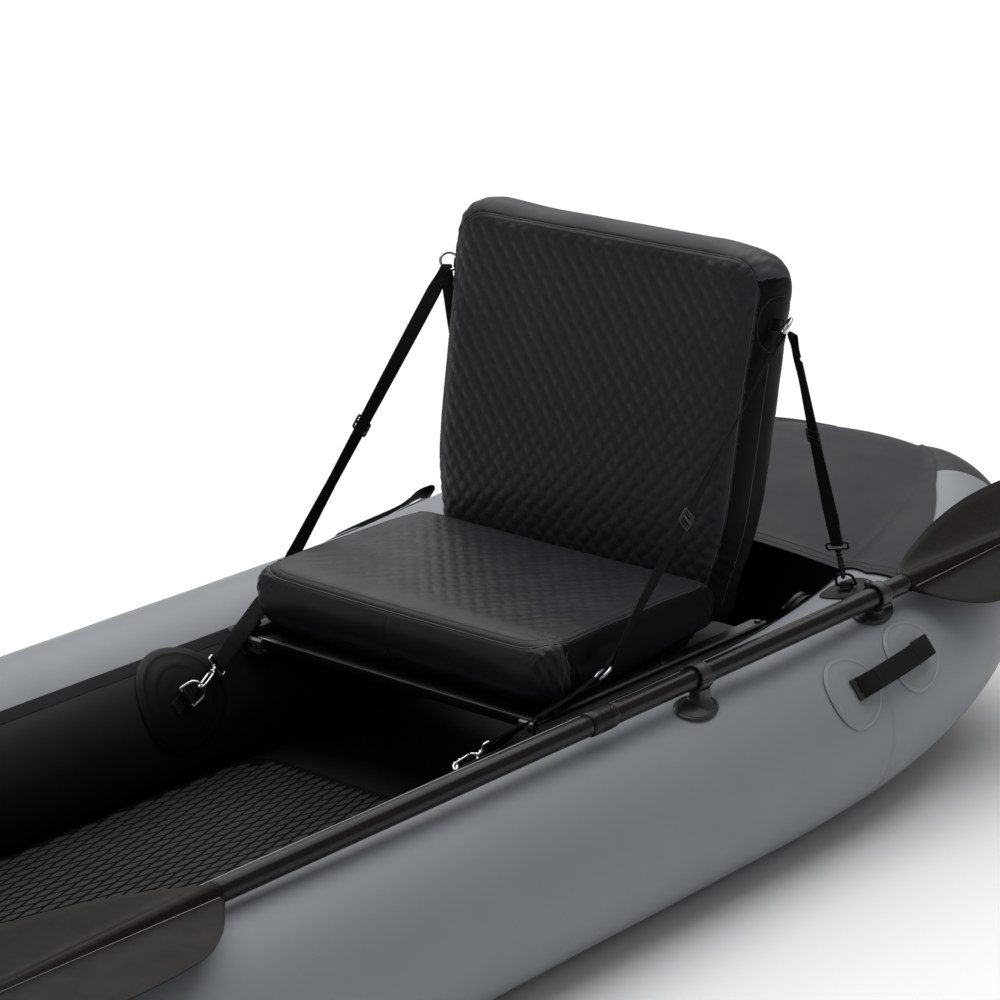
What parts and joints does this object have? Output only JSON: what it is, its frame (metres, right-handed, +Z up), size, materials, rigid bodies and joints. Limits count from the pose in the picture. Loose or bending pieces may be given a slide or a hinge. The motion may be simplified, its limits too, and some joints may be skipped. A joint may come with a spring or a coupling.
{
  "type": "inflatable fishing kayak",
  "caption": "Inflatable open kayak: two air tubes round a drop-stitch floor, tapered ends with decks, bench on side rails, padded folding seat held by straps, paddle clipped to the side tube",
  "frame": {"origin": "on the ground under the middle of the whole object with its paddle clipped on; the hull's own centre plane is at x = -0.0058 m", "axes": "+Z up, -Y towards the bow, +Y towards the stern, +X towards the port tube, which carries the paddle"},
  "size_m": [0.9772, 3.2984, 0.7375],
  "materials": {
    "tube_grey": "satin",
    "fabric_dark": "satin",
    "floor_black": "matte",
    "mat_foam": "matte",
    "board_black": "satin",
    "strip_metal": "satin",
    "seat_vinyl": "satin",
    "webbing": "matte",
    "wire_steel": "gloss",
    "hook_black": "satin",
    "plastic_black": "satin",
    "shaft_brown": "gloss",
    "blade_brown": "gloss"
  },
  "bodies": {
    "hull": {"port_tube": "tube_grey", "starboard_tube": "tube_grey", "floor_panel": "floor_black", "bottom_skin": "fabric_dark", "stern_deck": "fabric_dark", "bow_deck": "fabric_dark", "front_patch_port": "fabric_dark", "front_patch_starboard": "fabric_dark", "rear_patch_port": "fabric_dark", "rear_patch_starboard": "fabric_dark", "floor_mat": "mat_foam", "bench_board": "board_black", "bench_front_trim": "strip_metal", "bench_bracket_port": "strip_metal", "bench_bracket_starboard": "strip_metal", "bench_rail_port": "plastic_black", "bench_rail_starboard": "plastic_black", "bench_channel_port": "plastic_black", "bench_channel_starboard": "plastic_black", "forward_clip_base": "plastic_black", "aft_clip_base": "plastic_black", "tube_valve_port": "plastic_black", "tube_valve_starboard": "plastic_black", "floor_valve": "plastic_black", "seat_cushion": "seat_vinyl", "cushion_ring_port": "wire_steel", "cushion_ring_starboard": "wire_steel", "front_dring_port": "wire_steel", "front_dring_starboard": "wire_steel", "front_snap_hook_port": "wire_steel", "front_snap_hook_starboard": "wire_steel", "rear_dring_port": "hook_black", "rear_dring_starboard": "hook_black", "rear_snap_hook_port": "hook_black", "rear_snap_hook_starboard": "hook_black", "front_strap_lower_port": "webbing", "front_strap_lower_starboard": "webbing"},
    "backrest": {"backrest": "seat_vinyl", "backrest_ring_port": "wire_steel", "backrest_ring_starboard": "wire_steel", "front_strap_upper_port": "webbing", "front_strap_upper_starboard": "webbing", "rear_strap_port": "webbing", "rear_strap_starboard": "webbing"},
    "paddle_rear": {"paddle_rear_shaft": "shaft_brown", "paddle_rear_blade": "blade_brown", "paddle_ferrule": "plastic_black"},
    "paddle_front": {"paddle_front_shaft": "shaft_brown", "paddle_front_blade": "blade_brown"},
    "forward_clip_keeper": {"forward_clip_keeper": "plastic_black"},
    "aft_clip_keeper": {"aft_clip_keeper": "plastic_black"},
    "front_snap_gate_port": {"front_snap_gate_port": "wire_steel"},
    "front_snap_gate_starboard": {"front_snap_gate_starboard": "wire_steel"},
    "rear_snap_gate_port": {"rear_snap_gate_port": "hook_black"},
    "rear_snap_gate_starboard": {"rear_snap_gate_starboard": "hook_black"},
    "side_handle_port": {"side_handle_port": "webbing"},
    "tube_valve_cap_port": {"tube_valve_cap_port": "plastic_black"},
    "side_handle_starboard": {"side_handle_starboard": "webbing"},
    "tube_valve_cap_starboard": {"tube_valve_cap_starboard": "plastic_black"},
    "floor_valve_cap": {"floor_valve_cap": "plastic_black"}
  },
  "joints": [
    {"name": "backrest_fold", "type": "hinge", "parent": "hull", "child": "backrest", "pos_m": [-0.00576, 0.839, 0.319], "axis": [1, 0, 0], "range_deg": [-4, 92], "deforming": ["front_strap_upper_port", "front_strap_upper_starboard", "rear_strap_port", "rear_strap_starboard"]},
    {"name": "paddle_slide", "type": "slide", "parent": "hull", "child": "paddle_rear", "axis": [0.018, 0.9998, 0.011], "range_m": [-0.02, 0.15]},
    {"name": "paddle_feather", "type": "hinge", "parent": "paddle_rear", "child": "paddle_front", "pos_m": [0.38177, 0.414, 0.28531], "axis": [0.018, 0.9998, 0.011], "range_deg": [-12, 12]},
    {"name": "forward_keeper_open", "type": "hinge", "parent": "hull", "child": "forward_clip_keeper", "pos_m": [0.40302, 0.60465, 0.28881], "axis": [0.018, 0.9998, 0.011], "range_deg": [0, 134]},
    {"name": "aft_keeper_open", "type": "hinge", "parent": "hull", "child": "aft_clip_keeper", "pos_m": [0.40829, 0.99396, 0.28413], "axis": [0.018, 0.9998, 0.011], "range_deg": [0, 134]},
    {"name": "front_gate_press_port", "type": "hinge", "parent": "hull", "child": "front_snap_gate_port", "pos_m": [0.21332, 0.36897, 0.21049], "axis": [0.386, -0.407, 0.8279], "range_deg": [0, 18], "stiffness_Nm_per_rad": 0.02, "springref_deg": -17.19},
    {"name": "front_gate_press_starboard", "type": "hinge", "parent": "hull", "child": "front_snap_gate_starboard", "pos_m": [-0.22484, 0.36897, 0.21049], "axis": [0.386, 0.407, -0.8279], "range_deg": [0, 18], "stiffness_Nm_per_rad": 0.02, "springref_deg": -17.19},
    {"name": "rear_gate_press_port", "type": "hinge", "parent": "hull", "child": "rear_snap_gate_port", "pos_m": [0.31385, 1.02255, 0.31944], "axis": [-0.9199, -0.3549, -0.167], "range_deg": [0, 18], "stiffness_Nm_per_rad": 0.02, "springref_deg": -17.19},
    {"name": "rear_gate_press_starboard", "type": "hinge", "parent": "hull", "child": "rear_snap_gate_starboard", "pos_m": [-0.32537, 1.02255, 0.31944], "axis": [-0.9199, 0.3549, 0.167], "range_deg": [0, 18], "stiffness_Nm_per_rad": 0.02, "springref_deg": -17.19},
    {"name": "side_handle_flap_port", "type": "hinge", "parent": "hull", "child": "side_handle_port", "pos_m": [0.45633, 0.94776, 0.22083], "axis": [-0.033, 0.9968, 0.073], "range_deg": [-24, 24], "stiffness_Nm_per_rad": 0.04},
    {"name": "side_handle_flap_starboard", "type": "hinge", "parent": "hull", "child": "side_handle_starboard", "pos_m": [-0.46785, 0.94776, 0.22083], "axis": [-0.033, -0.9968, -0.073], "range_deg": [-24, 24], "stiffness_Nm_per_rad": 0.04},
    {"name": "tube_valve_cap_turn_port", "type": "hinge", "parent": "hull", "child": "tube_valve_cap_port", "pos_m": [0.21897, 1.04973, 0.21892], "axis": [-0.8617, -0.088, 0.4998], "range_deg": [0, 90]},
    {"name": "tube_valve_cap_turn_starboard", "type": "hinge", "parent": "hull", "child": "tube_valve_cap_starboard", "pos_m": [-0.23049, 1.04973, 0.21892], "axis": [-0.8617, 0.088, -0.4998], "range_deg": [0, 90]},
    {"name": "floor_valve_cap_turn", "type": "hinge", "parent": "hull", "child": "floor_valve_cap", "pos_m": [0.12424, 0.98414, 0.08989], "axis": [0, -0.096, 0.9954], "range_deg": [0, 90]}
  ]
}
